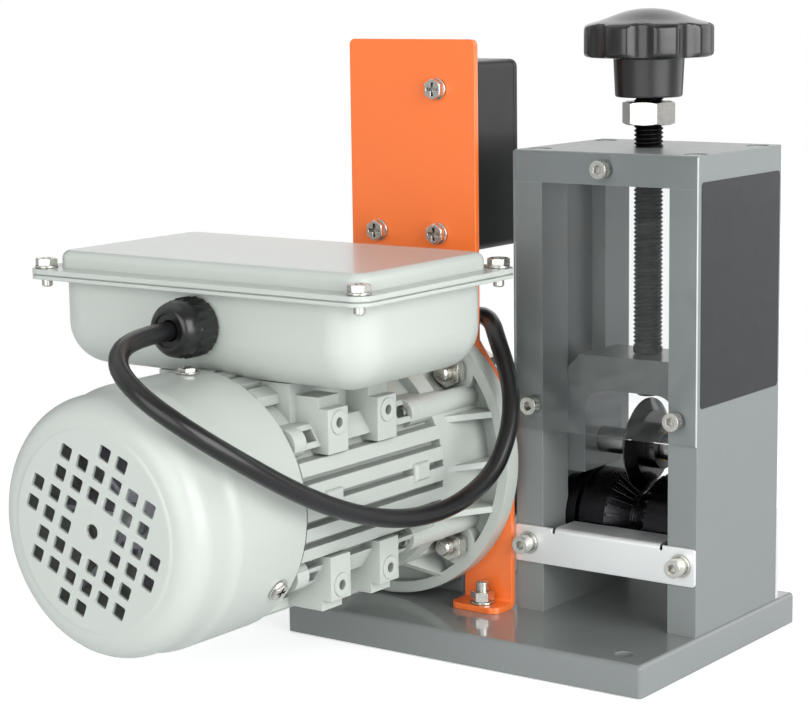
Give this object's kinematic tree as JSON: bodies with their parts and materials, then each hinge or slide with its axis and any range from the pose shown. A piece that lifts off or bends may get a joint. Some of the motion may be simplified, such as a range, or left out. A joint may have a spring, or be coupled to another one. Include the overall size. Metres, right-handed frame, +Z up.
{
  "type": "electric wire stripping machine",
  "caption": "Bench machine that slits cable insulation: a geared motor turns a toothed V-groove roller under a round blade that a hand screw lowers.",
  "frame": {"origin": "middle of the base plate's underside", "axes": "+Z up, -Y the front where the stripped wire comes out, +X right along the front edge; the motor hangs out to the front on the left"},
  "size_m": [0.265, 0.3211, 0.301],
  "materials": {
    "grey_paint": "satin grey enamel",
    "motor_paint": "light grey-green casting enamel",
    "orange_paint": "orange powder coat",
    "bright_steel": "bright brushed sheet",
    "zinc_steel": "zinc plated",
    "ground_steel": "ground",
    "hardened_steel": "hardened, dark",
    "dark_steel": "blackened",
    "lamination_steel": "stacked sheet",
    "cast_aluminium": "as cast",
    "bronze": "machined",
    "copper_wire": "enamelled wire",
    "clear_sheet": "clear polycarbonate sheet",
    "black_plastic": "moulded gloss",
    "black_moulding": "moulded matt",
    "white_plastic": "moulded",
    "black_rubber": "matt",
    "green_plastic": "moulded gloss",
    "red_plastic": "moulded gloss"
  },
  "bodies": {
    "frame": {"base_plate": "grey_paint", "left_side_plate": "grey_paint", "right_side_plate": "grey_paint", "top_plate": "grey_paint", "base_screws": "zinc_steel", "front_guard": "clear_sheet", "rear_guard": "clear_sheet", "exit_guide_plate": "bright_steel", "entry_guide_plate": "bright_steel", "tower_screws": "zinc_steel", "bearing_cartridges": "dark_steel", "roller_bearings": "ground_steel", "gearbox_housing": "cast_aluminium", "gearbox_cover": "cast_aluminium", "gearbox_bearings": "ground_steel", "gearbox_seals": "black_rubber", "motor_bracket": "orange_paint", "bracket_foot_stud": "zinc_steel", "flange_bolts": "zinc_steel", "motor_end_shield": "motor_paint", "motor_frame": "motor_paint", "tie_screws": "zinc_steel", "motor_rear_shield": "motor_paint", "stator_core": "lamination_steel", "stator_windings": "copper_wire", "motor_bearings": "ground_steel", "fan_cover": "motor_paint", "fan_cover_screws": "zinc_steel", "terminal_box": "motor_paint", "terminal_lid": "motor_paint", "lid_gasket": "black_rubber", "lid_screws": "zinc_steel", "capacitors": "white_plastic", "terminal_block": "black_plastic", "switch_box": "black_moulding", "switch_box_cover": "black_moulding", "switch_box_screws": "zinc_steel", "contact_block": "white_plastic", "cable_glands": "black_moulding", "motor_cable": "black_rubber"},
    "block": {"pressure_block": "grey_paint", "cutter_axle": "ground_steel", "axle_spacers": "ground_steel"},
    "screw": {"adjusting_screw": "ground_steel", "screw_clip": "dark_steel", "jam_nut": "zinc_steel", "star_knob": "black_plastic"},
    "cutter": {"cutter_wheel": "hardened_steel", "cutter_bush": "bronze"},
    "roller": {"feed_roller": "hardened_steel", "roller_shaft": "ground_steel", "shaft_keys": "ground_steel", "worm_wheel": "bronze"},
    "rotor": {"motor_shaft": "ground_steel", "rotor_core": "lamination_steel", "cooling_fan": "black_plastic", "worm": "hardened_steel"},
    "start": {"start_button": "green_plastic"},
    "stop": {"stop_button": "red_plastic"}
  },
  "joints": [
    {"name": "block_slide", "type": "slide", "parent": "frame", "child": "block", "axis": [0, 0, 1], "range_m": [0, 0.08]},
    {"name": "screw_turn", "type": "hinge", "parent": "block", "child": "screw", "pos_m": [0.0495, 0.0175, 0.2], "axis": [0, 0, 1], "continuous": true},
    {"name": "cutter_spin", "type": "hinge", "parent": "block", "child": "cutter", "pos_m": [0.0495, 0.0175, 0.094], "axis": [1, 0, 0], "continuous": true},
    {"name": "roller_spin", "type": "hinge", "parent": "frame", "child": "roller", "pos_m": [0.0495, 0.0175, 0.0575], "axis": [1, 0, 0], "continuous": true},
    {"name": "motor_spin", "type": "hinge", "parent": "frame", "child": "rotor", "pos_m": [-0.068, -0.111, 0.0885], "axis": [0, 1, 0], "continuous": true},
    {"name": "start_push", "type": "slide", "parent": "frame", "child": "start", "axis": [0, -1, 0], "range_m": [0, 0.003], "stiffness_N_per_m": 1000},
    {"name": "stop_push", "type": "slide", "parent": "frame", "child": "stop", "axis": [0, -1, 0], "range_m": [0, 0.003], "stiffness_N_per_m": 1000}
  ],
  "couplings": [
    {"joint": "screw_turn", "follows": "block_slide", "rad_per_m": 3141.6},
    {"joint": "roller_spin", "follows": "motor_spin", "ratio": 0.033333}
  ]
}
